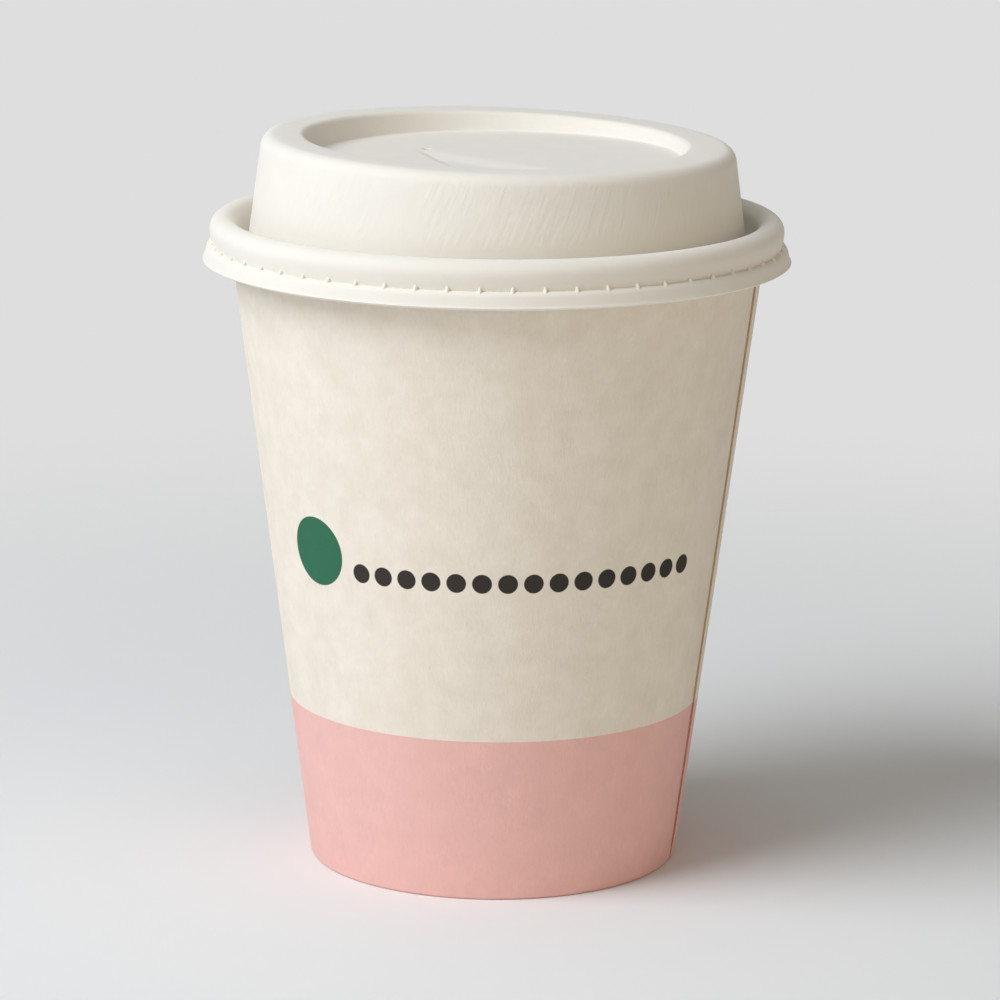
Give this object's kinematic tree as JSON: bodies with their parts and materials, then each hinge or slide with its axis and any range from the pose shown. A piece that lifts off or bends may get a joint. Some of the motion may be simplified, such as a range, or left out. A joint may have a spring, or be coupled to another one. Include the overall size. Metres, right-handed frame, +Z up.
{
  "type": "paper coffee cup",
  "caption": "Tapered paper cup with a rolled rim, lapped side seam and recessed base, closed by a press-on moulded-fibre lid with a sip hole.",
  "frame": {"origin": "centre of the foot, on the surface that the cup stands on", "axes": "+Z up along the cup's axis, -Y towards the front that the picture shows, +X to the right"},
  "size_m": [0.094, 0.094, 0.1181],
  "materials": {
    "printed_board": "matte",
    "base_board": "matte",
    "moulded_fibre": "matte"
  },
  "bodies": {
    "cup": {"cup_wall": "printed_board", "cup_base": "base_board"},
    "lid": {"lid": "moulded_fibre"}
  },
  "joints": [
    {"name": "lid_lift", "type": "slide", "parent": "cup", "child": "lid", "axis": [0, 0, 1], "range_m": [0, 0.05]}
  ]
}
